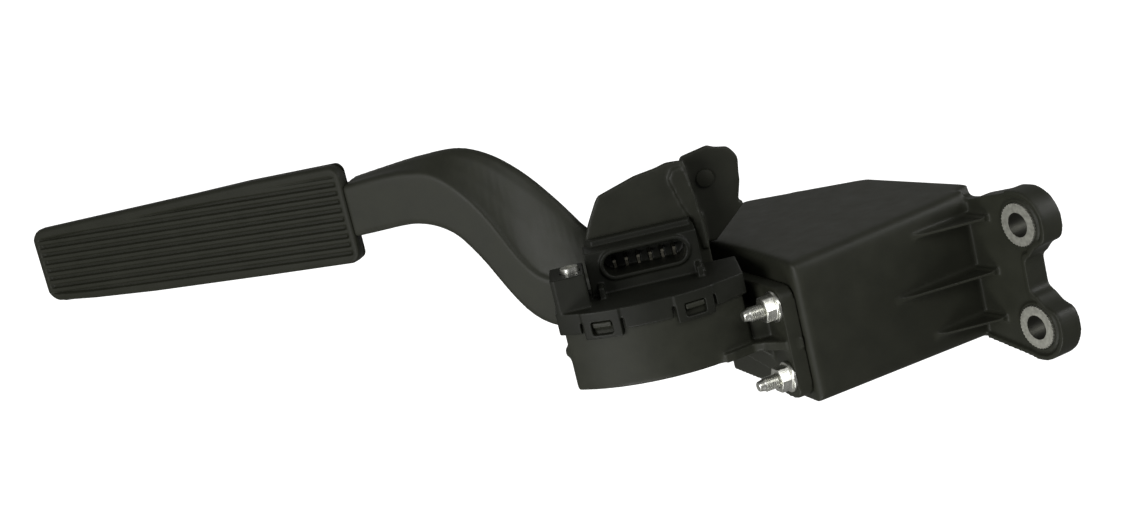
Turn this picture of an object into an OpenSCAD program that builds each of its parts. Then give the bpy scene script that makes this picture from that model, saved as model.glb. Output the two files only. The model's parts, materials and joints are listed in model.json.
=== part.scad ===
// Electronic accelerator pedal on a bolt-on adapter bracket.
// Origin: midway between the two dash bolts, on the driver's face of their steel bushes.
// +X points to the driver's right, +Y forward to the dash, +Z up.

/* [Layout] */
// Distance of the pivot axis behind the bolt heads' face
pivot_back = 90.4; // [84:0.1:96]
// Distance of the pivot axis below the dash bolts
pivot_drop = 91.4; // [86:0.1:97]
// Slope of the pedal box, up to the front
box_tilt = 30; // [28:0.5:32]
// Slope of the lever and of its tread, up to the front
arm_tilt = 55; // [53:0.5:57]
// Slope of the stud axes, up to the front
flange_tilt = 10; // [8:0.5:12]

/* [Dash bolts and bracket] */
// Distance between the two dash bolts
bolt_spacing = 36; // [32:0.5:40]
// Bore of a dash bush
bush_bore = 8.4; // [6.6:0.1:9]
// Outside diameter over the knurl of a dash bush
bush_d = 15.2; // [14:0.1:16.5]
// Thickness of the bracket's ears
ear_t = 9; // [7:0.5:12]
// Radius of an ear around its bush
ear_r = 11.8; // [10.5:0.1:13]
// Depth of the dip between the ears, below the bolt line
ear_dip = 0.5; // [0:0.5:4]
// Width of the bracket at the pedal box
bracket_w = 48.5; // [46:0.5:54]
// Extra width of the bracket at the dash
bracket_flare = 4.5; // [0:0.5:7]
// Wall of the bracket
bracket_wall = 3; // [2.4:0.1:4]
// Height of the bolt line above the bracket's top wall
ear_rise = 25; // [23:0.5:28]
// Height of the three stiffening ribs where they meet the ears
rib_h = 10.5; // [6:0.5:14]
// Thickness of a stiffening rib
rib_t = 2.2; // [1.6:0.1:3]
// Radius of the bracket's long edges
bracket_edge_r = 3.5; // [1:0.5:5]

/* [Studs between bracket and pedal box] */
// Diameter of a stud
stud_d = 5; // [4:0.5:6]
// Distance between the studs
stud_spacing = 24.4; // [23:0.2:27]
// Length of a stud that stands out of the pedal box's flange
stud_out = 13; // [11:0.5:15]
// Width across the flats of a nut
nut_af = 8; // [7:0.5:9]
// Height of a nut with its collar
nut_h = 5; // [4:0.5:6]

/* [Pedal box] */
// Radius of the round front of the sensor chamber, about the pivot axis
chamber_r = 49; // [46:0.5:53]
// Width of the sensor chamber
chamber_w = 60; // [58:0.5:64]
// Depth of the sensor chamber across the cover, from its floor
chamber_h = 24.5; // [22:0.5:28]
// Right-hand face of the box's floor
floor_x = 2.5; // [2:0.5:4]
// Wall of the box
box_wall = 2.4; // [2:0.1:3]
// Left-hand reach of the tower over the hub, from the pivot's middle plane
tower_left = 62; // [61:0.5:63.5]
// Thickness of the flange that the studs pass
flange_t = 5.2; // [4.5:0.1:6.5]
// Width of that flange at the studs
flange_w = 38.5; // [37:0.5:41]

/* [Sensor cover] */
// Thickness of the cover's plate
cover_t = 3; // [2:0.1:4]
// Thickness of the cover's skirt
skirt_t = 1.5; // [1.2:0.1:2]
// Depth of the skirt below the cover's plate
skirt_h = 4.4; // [3.5:0.1:5]
// Gap between the skirt and the box wall
skirt_gap = 0.15; // [0.1:0.05:0.3]
// Width of a snap tab
tab_w = 13.4; // [11:0.2:15]
// Width of a snap tab's window
window_w = 7.2; // [5:0.2:8]
// Pitch of the terminals
pin_pitch = 4.14; // [3.8:0.02:4.4]
// Number of terminals
pin_count = 6; // [4:1:6]
// Height of the oval socket, inside
socket_h = 7.6; // [6.5:0.1:8.4]
// Depth of the socket
socket_depth = 12; // [9:0.5:14]
// Wall of the socket's oval rim
socket_wall = 1.4; // [1:0.1:2]

/* [Pivot] */
// Diameter of the pivot pin
pin_d = 8; // [6:0.5:9]
// Running clearance of the pivot, on the radius
pin_gap = 0.05; // [0.02:0.01:0.1]
// Wall of a pivot bush
pivot_bush_wall = 1.5; // [1:0.1:2]
// Outside diameter of the lever's hub
hub_d = 22; // [20:0.5:24]

/* [Lever] */
// Distance from the pivot to the start of the lever's tread
pad_near = 107.5; // [104:0.5:110]
// Length of the tread
pad_len = 149.5; // [135:0.5:155]
// Width of the tread at its top end
pad_w = 37.5; // [34:0.5:41]
// Loss of width at the tread's lower end
pad_taper = 7.5; // [3:0.5:10]
// Thickness of the tread's edge
tread_t = 5; // [4:0.5:6]
// Thickness of the tread with the block behind it
pad_t = 10; // [9:0.5:11]
// Number of ribs on the tread
tread_ribs = 9; // [7:1:11]
// Height of a tread rib
tread_rib_h = 1.1; // [0.6:0.1:1.6]
// Width of the lever's face at the tread
arm_w = 18.5; // [16:0.5:21]
// Depth of the lever at the tread
arm_depth = 14; // [12:0.5:17]
// Depth of the lever at the hub
root_depth = 24; // [22:0.5:25]

/* [Hidden] */
$fn = 48;

// Colours
black_plastic = [0.13, 0.13, 0.12];
soft_black = [0.09, 0.09, 0.085];
zinc = [0.78, 0.78, 0.75];
grey_steel = [0.5, 0.5, 0.49];
brass = [0.72, 0.58, 0.3];

seat = 0.02;
rim_x = floor_x - chamber_h;
cover_x = rim_x - cover_t;
cover_r = chamber_r + skirt_gap + skirt_t;
half_w = chamber_w / 2;
flange_top = [-74.1, -ear_rise - 2];
flange_left = -18.5;
flange_len = 66;
flange_drop = 1;
stud_drop = 6;
bracket_left = -bracket_w / 2 - 2;
bracket_foot = 67;
bracket_heel = [-44, -118];
bracket_toe = [-22, -122];
bracket_slope = 1.1;
ear_x = [-bolt_spacing / 2, bolt_spacing / 2];
ear_recess = 1.2;
ear_rim = 1.8;
ear_root = 6;
stud_x = [-stud_spacing / 2, stud_spacing / 2];
stud_head_t = 2.5;
bracket_ribs = [[-19.5, 25], [-0.5, 36.5], [16.3, 23]];
knurls = 38;
knurl_depth = 0.35;

// Box, in its own side view: forward and up from the pivot
hub_left = 38;
hub_right = 4;
tower_front = hub_d / 2 + 0.6 + box_wall;
tower_back = -38;
tower_rear_u = -17;
tower_right = 24;
tower_low = 46.4;
lean = 12.4;
wing_top = 2;
cap_at = [28, 51.5];
tab_angles = [20, -16];

// Cover and sensor
socket_mouth = tower_front + 14;
socket_u = 1.5;
socket_left = 34.4;
socket_top = -34.4;
lug_x = -36.5;
screw_at = [-24, 32];
board_t = 1.6;
track_t = 0.2;
wiper_x = -19.2;
wiper_turn = 9;

// Hub, pin and lever
travel = 18;
stop_t = 2.4;
stop_gap = 0.15;
full_stop_n = 16.6;
pin_left = -tower_left + 10.5;
lever_front = 8;
lever_steps = 38;
lever_stations = [for (i = [0 : lever_steps]) -pad_near + 0.2 + i * (pad_near - 4.2) / lever_steps];
pad_right = 42;
tread_border = 3.6;
tread_pitch = 3.3;

// Puts a side view, drawn forward and up from the pivot, across the pedal from x0 to x1.
module across(tilt, x0, x1) {
    multmatrix([[0, 0, 1, x0],
                [cos(tilt), -sin(tilt), 0, -pivot_back],
                [sin(tilt), cos(tilt), 0, -pivot_drop],
                [0, 0, 0, 1]])
        linear_extrude(x1 - x0) children();
}

// Puts a face view, drawn forward and to the left from the pivot, from depth n0 to n1 towards the driver.
module facing(tilt, n0, n1) {
    multmatrix([[0, -1, 0, 0],
                [cos(tilt), 0, -sin(tilt), -pivot_back - n0 * sin(tilt)],
                [sin(tilt), 0, cos(tilt), -pivot_drop + n0 * cos(tilt)],
                [0, 0, 0, 1]])
        linear_extrude(n1 - n0) children();
}

// Puts a face view of the box at depth n, and draws its left-hand walls in with depth.
module leaning(n, depth) {
    multmatrix([[0, -cos(lean), -sin(lean), 0],
                [cos(box_tilt), sin(lean) * sin(box_tilt), -cos(lean) * sin(box_tilt), -pivot_back],
                [sin(box_tilt), -sin(lean) * cos(box_tilt), cos(lean) * cos(box_tilt), -pivot_drop],
                [0, 0, 0, 1]])
        translate([0, -n * sin(lean), n * cos(lean) - depth]) linear_extrude(depth + 20)
            scale([1, cos(lean)]) children();
}

// Puts a solid built upwards on the pivot axis, from x0 to the right.
module on_pivot(x0) {
    translate([x0, -pivot_back, -pivot_drop]) rotate([0, 90, 0]) children();
}

// Local frame of the flange: x to the right, y up the flange, z rearwards along the studs.
module at_flange() {
    translate([0, flange_top[0], flange_top[1]]) rotate([90 + flange_tilt, 0, 0]) children();
}

// Puts a side view of the bracket, drawn forward and up from the origin, across it.
module side_view(x0, x1) {
    translate([x0, 0, 0]) rotate([90, 0, 90]) linear_extrude(x1 - x0) children();
}

module rounded(r) {
    offset(r) offset(-r) children();
}

// Side view of the bracket: top wall, flange side, heel, toe and dash side.
module bracket_side(front) {
    polygon([[flange_top[0], -ear_rise],
             [flange_top[0] + bracket_foot * sin(flange_tilt), -ear_rise - bracket_foot * cos(flange_tilt)],
             bracket_heel, bracket_toe,
             [front, bracket_toe[1] + bracket_slope * (front - bracket_toe[0])], [front, -ear_rise]]);
}

// The bracket's box between its two long sides, wider at the dash; inset leaves room for a wall.
module bracket_block(inset, front) {
    intersection() {
        side_view(-bracket_w, bracket_w) offset(-inset) rounded(bracket_edge_r * 0.8) bracket_side(front);
        hull() {
            for (end = [[flange_top[0] - 1, 0], [ear_t, bracket_flare]])
                translate([bracket_left - end[1] / 2 + inset, end[0], bracket_toe[1]])
                    bracket_end(bracket_w + end[1] - 2 * inset, -ear_rise - bracket_toe[1] - inset);
        }
    }
}

// Thin slice of the bracket's box with its two upper edges rounded.
module bracket_end(w, h) {
    rotate([90, 0, 0]) linear_extrude(0.1)
        union() {
            square([w, h - bracket_edge_r]);
            translate([bracket_edge_r, h / 2]) square([w - 2 * bracket_edge_r, h / 2]);
            for (x = [bracket_edge_r, w - bracket_edge_r])
                translate([x, h - bracket_edge_r]) circle(bracket_edge_r, $fn = 32);
        }
}

// Face view of the ears: two lobes over the bracket's end, with a dip between them.
module ears_face(inset) {
    root = bracket_w + bracket_flare;
    offset(-3) offset(3 - inset) offset(3) offset(-3)
        difference() {
            union() {
                for (x = ear_x) translate([x, 0]) circle(ear_r);
                polygon([[-bolt_spacing / 2 - ear_r, 0], [bracket_left - bracket_flare / 2, -ear_rise - ear_root],
                         [bracket_left - bracket_flare / 2 + root, -ear_rise - ear_root],
                         [bracket_left - bracket_flare / 2 + root, -ear_rise],
                         [bolt_spacing / 2 + ear_r, 0]]);
            }
            translate([0, ear_dip + ear_r]) circle(bolt_spacing / 2 - ear_r * 0.52);
        }
}

module adapter_bracket() color(black_plastic) {
    difference() {
        union() {
            difference() {
                bracket_block(0, ear_t);
                bracket_block(bracket_wall, ear_t + 30);
            }
            translate([0, ear_t, 0]) rotate([90, 0, 0]) linear_extrude(ear_t - ear_recess) ears_face(0);
            translate([0, ear_t, 0]) rotate([90, 0, 0]) linear_extrude(ear_t)
                difference() {
                    ears_face(0);
                    ears_face(ear_rim);
                    translate([-bracket_w, -ear_rise - bracket_w]) square([2 * bracket_w, bracket_w]);
                }
            for (x = ear_x)
                translate([x, ear_t, 0]) rotate([90, 0, 0]) cylinder(d = bush_d + 2, h = ear_t - 0.4);
            for (rib = bracket_ribs)
                side_view(rib[0] - rib_t / 2, rib[0] + rib_t / 2)
                    polygon([[-rib[1], -ear_rise - 1], [1, -ear_rise - 1], [1, -ear_rise + rib_h],
                             [-1, -ear_rise + rib_h], [-rib[1], -ear_rise]]);
            at_flange() translate([0, -stud_drop, -bracket_wall - 2])
                for (x = stud_x) translate([x, 0, 0]) cylinder(d = stud_d + 3.4, h = bracket_wall + 1);
        }
        for (x = ear_x)
            translate([x, ear_t + 1, 0]) rotate([90, 0, 0]) cylinder(d = bush_d + 2 * seat, h = ear_t + 3);
        at_flange() translate([0, -stud_drop, -bracket_wall - 3])
            for (x = stud_x) translate([x, 0, 0]) cylinder(d = stud_d + 2 * seat, h = bracket_wall + 6);
    }
}

// Steel bush with straight knurling, its driver's face on the origin's plane.
module dash_bush(x) {
    translate([x, ear_t, 0]) rotate([90, 0, 0])
        difference() {
            linear_extrude(ear_t)
                polygon([for (i = [0:2 * knurls - 1])
                    (bush_d / 2 - (i % 2) * knurl_depth) * [cos(i * 180 / knurls), sin(i * 180 / knurls)]]);
            translate([0, 0, -1]) cylinder(d = bush_bore, h = ear_t + 2);
        }
}

module dash_bush_left() color(grey_steel) dash_bush(ear_x[0]);
module dash_bush_right() color(grey_steel) dash_bush(ear_x[1]);

module flange_studs() color(zinc)
    at_flange() translate([0, -stud_drop, 0])
        for (x = stud_x) translate([x, 0, 0]) {
            translate([0, 0, -bracket_wall - 2 - stud_head_t]) cylinder(d = stud_d + 2.2, h = stud_head_t);
            translate([0, 0, -bracket_wall - 2.5])
                cylinder(d = stud_d, h = bracket_wall + 2.5 + flange_t + stud_out - 2);
            translate([0, 0, flange_t + stud_out - 2])
                cylinder(d1 = stud_d * 0.82, d2 = stud_d * 0.66, h = 2);
        }

module flange_nuts() color(zinc)
    at_flange() translate([0, -stud_drop, flange_t])
        for (x = stud_x) translate([x, 0, 0])
            difference() {
                union() {
                    cylinder(d = nut_af + 2.6, h = 1.2);
                    translate([0, 0, 0.6]) rotate([0, 0, 30]) cylinder(d = nut_af / cos(30), h = nut_h - 0.6, $fn = 6);
                }
                translate([0, 0, -1]) cylinder(d = stud_d + 0.1, h = nut_h + 2);
            }

// Side view of the sensor chamber, round in front about the pivot axis.
module chamber_side(r, back, inset = 0) {
    intersection() {
        circle(r - inset, $fn = 96);
        translate([-half_w + inset, back]) square([chamber_w - 2 * inset, r]);
    }
}

// Side view of the box's floor, with the strap that runs on to the flange.
module floor_side() {
    union() {
        chamber_side(chamber_r, tower_front - box_wall);
        translate([tower_rear_u, tower_back]) square([tower_right - tower_rear_u, tower_front - tower_back]);
        polygon([[tower_rear_u, tower_front], [tower_rear_u, tower_back + 10], [-half_w, tower_front - box_wall - 4],
                 [-half_w, tower_front]]);
        polygon([[tower_right - 1, -14], [18, 44], [20, 46], [23.5, 45], [26.7, 43], [half_w, 41], [33.2, 41.8],
                 [36.8, 44.5], [40, 47.5], [half_w + 16, 47.5], [half_w + 16, -14]]);
    }
}

// Face view of the tower over the hub, with its sloping roof.
module tower_face(inset) {
    offset(-inset)
        polygon([[tower_rear_u, -10], [tower_rear_u, tower_left - 20], [tower_rear_u + 2, tower_left - 15],
                 [tower_rear_u + 6, tower_left - 8], [tower_rear_u + 7.5, tower_left - 6], [-4.5, tower_left - 4.5],
                 [4, tower_left - 2], [11.5, tower_left - 1], [15.5, tower_left], [20, tower_left - 0.3],
                 [21.6, tower_left - 1], [tower_right, 38], [tower_right, -10]]);
}

// Tower over the hub and its return springs; an inset gives its inside.
module tower(inset) {
    intersection() {
        leaning(tower_front, tower_front - tower_back + 10) tower_face(inset);
        facing(box_tilt, tower_back + inset + 0.3, tower_front - inset)
            translate([-40, 22 - inset]) square([100, 60]);
    }
}

module flange_plate() {
    at_flange()
        linear_extrude(flange_t)
            rounded(4.5)
                polygon([[flange_left, -flange_len], [flange_left, -flange_drop],
                         [flange_left + flange_w, -flange_drop], [flange_left + flange_w, -stud_drop - 7.5],
                         [13, -stud_drop - 12], [11, -39], [9, -flange_len]]);
}

// Block in the box that carries the full-travel stop, square to the pressed lever.
module full_stop_side() {
    intersection() {
        rotate(arm_tilt + travel - box_tilt)
            translate([-24, -60]) square([8, 60 - full_stop_n - stop_t]);
        translate([tower_rear_u, tower_back]) square([tower_right - tower_rear_u, 40]);
    }
}

// Block behind the sensor chamber that carries the idle stop, square to the lever at rest.
module idle_stop_side() {
    intersection() {
        rotate(arm_tilt - box_tilt)
            translate([-22, lever_front + stop_gap + stop_t]) square([8, 30]);
        translate([-half_w, -10]) square([40, tower_front + 10]);
    }
}

module pedal_box() color(black_plastic) {
    difference() {
        union() {
            across(box_tilt, rim_x, floor_x) chamber_side(chamber_r, tower_front - box_wall);
            across(box_tilt, -24, floor_x)
                translate([tower_rear_u, tower_back]) square([tower_right - tower_rear_u, tower_front - tower_back]);
            tower(0);
            facing(box_tilt, tower_front - 1, tower_front + 1.1)
                polygon([[20.3, 40], [17.8, 46.1], [15.2, 56.2], [17, 59], [20.4, 59.4], [22.4, 50.3],
                         [tower_right - 0.5, 36], [tower_right - 0.5, 30], [21.8, 30]]);
            across(box_tilt, -0.6, floor_x) floor_side();
            across(box_tilt, -34, -14) full_stop_side();
            across(box_tilt, -21, -12) idle_stop_side();
            difference() {
                flange_plate();
                across(box_tilt, cover_x - 1, rim_x + skirt_h + 2.4) cover_side(cover_r + 0.5);
            }
            across(box_tilt, -9, 0)
                polygon([[half_w - 1, 14], [half_w - 1, 37], [half_w + 13, 37], [half_w + 13, 14]]);
            facing(box_tilt, 33.4, 35.6)
                polygon([[half_w, -1], [half_w + 14, -1], [half_w + 14, -11.5], [half_w + 7, -9]]);
            across(box_tilt, -12, -9.2)
                translate([-half_w - 1.4, 33]) square([2, 4.5]);
            for (a = tab_angles)
                across(box_tilt, rim_x + 1, rim_x + skirt_h - 1.6)
                    rotate(a) translate([-window_w / 2 + 0.3, chamber_r - 1])
                        square([window_w - 0.6, 1 + skirt_gap + skirt_t]);
        }
        across(box_tilt, rim_x - 1, 0) chamber_hollow();
        across(box_tilt, -24.1, -0.2)
            difference() {
                translate([tower_rear_u - 20, tower_back + box_wall])
                    square([tower_right - tower_rear_u + 20 - box_wall, tower_front - tower_back - 2 * box_wall]);
                full_stop_side();
                idle_stop_side();
            }
        difference() {
            tower(box_wall);
            across(box_tilt, -34, -14) full_stop_side();
        }
        across(box_tilt, -tower_low + box_wall, -0.7)
            translate([tower_rear_u - 20, tower_back - 1]) square([32, box_wall + 2]);
        across(box_tilt, -tower_left - 8, -34.2)
            translate([tower_rear_u - 20, tower_back - 1]) square([32, -tower_back]);
        across(box_tilt, -34.3, -20)
            difference() {
                translate([tower_rear_u - 20, tower_back - 1.1]) square([30, -tower_back]);
                full_stop_side();
            }
        facing(box_tilt, -14 + box_wall, tower_front - box_wall - 4)
            translate([tower_rear_u - 5, 18]) square([10, 22]);
        at_flange() translate([-60, -90, -60]) cube([120, 140, 60]);
        at_flange() translate([0, -stud_drop, -1])
            for (x = stud_x) translate([x, 0, 0]) cylinder(d = stud_d + 0.6, h = flange_t + 20);
        on_pivot(pin_left - seat) cylinder(d = pin_d + 2 * seat, h = tower_left + 10);
    }
    // Bearing bosses for the pin in the floor and in the roof
    difference() {
        on_pivot(-3) cylinder(d = pin_d + 7, h = 3 + floor_x / 2);
        on_pivot(-4) cylinder(d = pin_d + 2 * seat, h = 10);
    }
    difference() {
        intersection() {
            on_pivot(-tower_left) cylinder(d = pin_d + 3, h = tower_left - hub_left - 8.2);
            tower(0.6);
        }
        on_pivot(pin_left - seat) cylinder(d = pin_d + 2 * seat, h = 20);
    }
    wing();
}

// Wing on the tower's left-hand front, with the block that carries the tower's cap.
module wing() {
    difference() {
        wing_block();
        facing(box_tilt, wing_top - 8.5, wing_top + 1) translate(cap_at) circle(d = 3 + 2 * seat);
    }
}

module wing_block() {
    intersection() {
        leaning(wing_top, 24)
            polygon([[tower_right - 3, 29], [tower_right - 3, tower_left - 1.3], [31, tower_left + 0.6],
                     [36.6, tower_left - 2.4], [39.4, tower_left - 7.5], [39.7, 48.2], [37.5, 40.3], [36.5, 29]]);
        facing(box_tilt, -14, wing_top) translate([10, 29]) square([40, 60]);
    }
    facing(box_tilt, wing_top - 4, wing_top - 0.02)
        polygon([[tower_right - 1, 29], [tower_right - 1, 42], [36, 41], [44, 39], [49, 35.5], [50, 29]]);
    facing(box_tilt, wing_top - 1, wing_top + 6)
        polygon([[tower_right - 1, 29.1], [tower_right - 1, 40], [36, 33], [38, 29.1]]);
}

// Outline of the chamber's inside, open to the hub between the tower's walls.
module chamber_hollow() {
    chamber_side(chamber_r, tower_front, box_wall);
    translate([tower_rear_u + box_wall, 2])
        square([tower_right - tower_rear_u - 2 * box_wall, tower_front]);
}

// Sensor cover: plate, skirt with snap tabs, plug socket and the block behind it.
module sensor_cover() color(black_plastic) {
    difference() {
        union() {
            across(box_tilt, cover_x, rim_x - seat) cover_side(cover_r);
            across(box_tilt, cover_x, rim_x + skirt_h)
                difference() {
                    cover_side(cover_r);
                    cover_side(cover_r - skirt_t);
                    translate([-half_w, 0]) square([chamber_w, tower_front + 8]);
                }
            for (a = tab_angles)
                across(box_tilt, cover_x, rim_x + skirt_h + 2)
                    rotate(a) intersection() {
                        difference() {
                            circle(cover_r + 0.4);
                            circle(cover_r - skirt_t - 0.05);
                        }
                        translate([-tab_w / 2, 0]) square([tab_w, cover_r + 2]);
                    }
            socket_block();
            screw_lug();
        }
        for (a = tab_angles)
            across(box_tilt, rim_x + 0.6, rim_x + skirt_h + 0.6)
                rotate(a) translate([-window_w / 2, chamber_r - 4]) square([window_w, 10]);
        for (a = tab_angles, side = [-1, 1])
            across(box_tilt, rim_x + 0.4, rim_x + skirt_h + 3)
                rotate(a) translate([side * (tab_w / 2 + 0.45) - 0.5, chamber_r - 4]) square([1, 10]);
        facing(box_tilt, socket_mouth - socket_depth, socket_mouth + 1) socket_oval(0);
        for (i = [0 : pin_count - 1]) terminal(i, seat);
        across(box_tilt, cover_x - 20, rim_x + 4)
            translate(screw_at) circle(d = 3 + 2 * seat);
        across(box_tilt, lug_x - 1, lug_x + 1.2)
            translate(screw_at) circle(d = 7);
    }
}

module cover_side(r) {
    wall = r - chamber_r;
    intersection() {
        circle(r, $fn = 96);
        translate([-half_w - wall, tower_front + 0.3]) square([chamber_w + 2 * wall, r]);
    }
}

// Oval of the plug socket, grown by a wall.
module socket_oval(wall) {
    reach = (pin_count - 1) * pin_pitch / 2 + 3.75;
    hull()
        for (side = [-1, 1])
            translate([socket_u + side * (reach - socket_h / 2), socket_left]) circle(socket_h / 2 + wall, $fn = 32);
}

module socket_block() {
    facing(box_tilt, tower_front + 1, socket_mouth) socket_oval(socket_wall);
    facing(box_tilt, tower_front + 0.3, socket_mouth - 1)
        translate([socket_u - 20, -cover_x - 1]) square([38.5, 16]);
    across(box_tilt, socket_top - 8, cover_x + 1)
        polygon([[socket_u - 19.2, tower_front + 0.7], [socket_u + 17.8, tower_front + 0.7],
                 [socket_u + 17, tower_front + 5], [socket_u - 17, tower_front + 5]]);
    for (u = [socket_u - 17.5, socket_u + 16])
        facing(box_tilt, socket_mouth - 1, socket_mouth + 6)
            translate([u, -cover_x - 1]) square([1.8, 5]);
}

// Lug on the cover's left-hand end, with the screw's seat.
module screw_lug() {
    across(box_tilt, lug_x, cover_x + 1)
        intersection() {
            circle(cover_r);
            translate([-half_w - 1, 22]) square([11.5, 19]);
        }
}

// Terminal blade: out into the socket, and down through the cover to the sensor board.
module terminal(i, gap = 0) {
    u = socket_u + (i - (pin_count - 1) / 2) * pin_pitch;
    facing(box_tilt, tower_front + 1.2 - gap, socket_mouth - 5.4)
        translate([u - 0.5 - gap, socket_left - 0.4 - gap]) square([1 + 2 * gap, 0.8 + 2 * gap]);
    facing(box_tilt, tower_front + 1.2 - gap, tower_front + 2.2 + gap)
        translate([u - 0.5 - gap, -rim_x - board_t]) square([1 + 2 * gap, socket_left + rim_x + board_t + 0.4]);
}

module terminals() color(brass)
    for (i = [0 : pin_count - 1]) terminal(i);

// Seal that lies inside the chamber's rim, under the cover.
module cover_gasket() color(soft_black)
    across(box_tilt, rim_x, rim_x + 1.4)
        difference() {
            chamber_side(chamber_r, tower_front, box_wall + seat);
            chamber_side(chamber_r, tower_front, box_wall + 1.4);
            translate([tower_rear_u, 0]) square([tower_right - tower_rear_u, tower_front + box_wall + 2]);
        }

module cover_screw() color(zinc)
    difference() {
        union() {
            across(box_tilt, lug_x - 1.6, lug_x + 1.2) translate(screw_at) circle(d = 6);
            across(box_tilt, lug_x, -12) translate(screw_at) circle(d = 3);
        }
        across(box_tilt, lug_x - 2, lug_x - 0.2) translate(screw_at) circle(d = 3, $fn = 6);
    }

module sensor_board() color([0.1, 0.28, 0.16])
    difference() {
        across(box_tilt, rim_x, rim_x + board_t)
            intersection() {
                circle(chamber_r - box_wall - 2);
                translate([-19, tower_front + 0.8]) square([42, chamber_r]);
            }
        for (i = [0 : pin_count - 1]) terminal(i, seat);
    }

module resistor_tracks() color([0.07, 0.07, 0.07])
    across(box_tilt, rim_x + board_t, rim_x + board_t + track_t)
        for (r = [31, 35, 39])
            intersection() {
                difference() {
                    circle(r + 1.2);
                    circle(r - 1.2);
                }
                polygon([[0, 0], [15, 50], [-15, 50]]);
            }

// Carrier that turns with the hub and holds the wipers under the board.
module wiper_carrier() color([0.82, 0.8, 0.74])
    across(box_tilt, wiper_x, wiper_x + 4)
        rotate(-wiper_turn) difference() {
            union() {
                intersection() {
                    circle(hub_d / 2 + 2.2);
                    polygon([[0, 0], [20, 20], [-20, 20]]);
                }
                translate([-4, hub_d / 2 - 1]) square([8, 42 - hub_d / 2]);
            }
            circle(hub_d / 2 + seat);
        }

module wiper_contacts() color(brass)
    for (r = [31, 35, 39])
        across(box_tilt, rim_x + board_t + track_t + 0.1, wiper_x)
            rotate(-wiper_turn) translate([-0.8, r - 0.6]) square([1.6, 1.2]);

module pivot_pin() color(grey_steel)
    difference() {
        on_pivot(pin_left) cylinder(d = pin_d, h = floor_x + 3 - pin_left);
        difference() {
            on_pivot(floor_x + 0.1) cylinder(d = pin_d + 2, h = 1.1);
            on_pivot(floor_x) cylinder(d = pin_d - 1.6, h = 2);
        }
    }

// Spring clip in the pin's groove, open on one side.
module pin_clip() color(grey_steel)
    difference() {
        on_pivot(floor_x + 0.15) cylinder(d = pin_d + 5, h = 1);
        on_pivot(floor_x) cylinder(d = pin_d - 1.6 + 2 * seat, h = 2);
        across(box_tilt, floor_x, floor_x + 2) translate([-pin_d * 0.36, -20]) square([pin_d * 0.72, 20]);
    }

// Flanged bush pressed into an end of the hub.
module pivot_bush() {
    difference() {
        union() {
            cylinder(d = pin_d + 2 * pin_gap + 2 * pivot_bush_wall, h = 11);
            translate([0, 0, -0.9]) cylinder(d = pin_d + 2 * pin_gap + 2 * pivot_bush_wall + 3, h = 0.9);
        }
        translate([0, 0, -2]) cylinder(d = pin_d + 2 * pin_gap, h = 14);
    }
}

module pivot_bush_left() color([0.7, 0.68, 0.6]) on_pivot(-hub_left) pivot_bush();
module pivot_bush_right() color([0.7, 0.68, 0.6]) on_pivot(-hub_right) rotate([180, 0, 0]) pivot_bush();

module friction_ring() color([0.3, 0.3, 0.28])
    on_pivot(-hub_right + 0.2)
        difference() {
            cylinder(d = hub_d - 1, h = 1.6);
            translate([0, 0, -1]) cylinder(d = pin_d + 8, h = 4);
        }

// Spring washer between the friction ring and the floor, with three pads to each side.
module wave_washer() color(grey_steel)
    difference() {
        union() {
            on_pivot(-hub_right + 2.3) cylinder(d = hub_d - 2, h = 1);
            for (i = [0:2], side = [0, 1])
                across(i * 120 + side * 60, -hub_right + 1.8 + side, -hub_right + 2.8 + side)
                    translate([hub_d / 2 - 2.6, -1.5]) square([1.4, 3]);
        }
        on_pivot(-hub_right) cylinder(d = pin_d + 8, h = 8);
    }

// Torsion spring: coils about the pivot, with a leg that lies against the hub's dog.
module torsion_spring(r, wire, turns, left) {
    for (i = [0 : turns - 1])
        on_pivot(-left + i * wire * 1.12 + wire / 2)
            rotate_extrude() translate([r, 0]) circle(d = wire, $fn = 16);
}

module return_spring_outer() color(grey_steel)
    torsion_spring(hub_d / 2 - 1.6, 2, 3, hub_left + 7.7);
module return_spring_inner() color(grey_steel)
    torsion_spring(pin_d / 2 + 2.5, 1.4, 4, hub_left + 7.3);
module spring_sleeve() color([0.82, 0.8, 0.74])
    on_pivot(-hub_left - 7.4)
        difference() {
            cylinder(r = hub_d / 2 - 2.8, h = 7.4 - seat);
            translate([0, 0, -1]) cylinder(r = hub_d / 2 - 3.5, h = 10);
        }

module idle_stop_pad() color(soft_black)
    across(arm_tilt, -20.5, -12.5)
        translate([-21.5, lever_front + stop_gap]) square([7, stop_t - seat]);

module full_stop_pad() color(soft_black)
    across(arm_tilt + travel, -33.5, -14.5)
        translate([-23.5, -full_stop_n - stop_t + seat]) square([7, stop_t - seat]);

module tower_cap() color(soft_black)
    union() {
        facing(box_tilt, wing_top + seat, wing_top + 1.4) translate(cap_at) circle(d = 6);
        facing(box_tilt, wing_top - 8, wing_top + 1) translate(cap_at) circle(d = 3);
    }

// Smooth step from 0 to 1 between two stations.
function ease(k, k0, k1) =
    let (t = min(1, max(0, (k - k0) / (k1 - k0)))) t * t * (3 - 2 * t);

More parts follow.
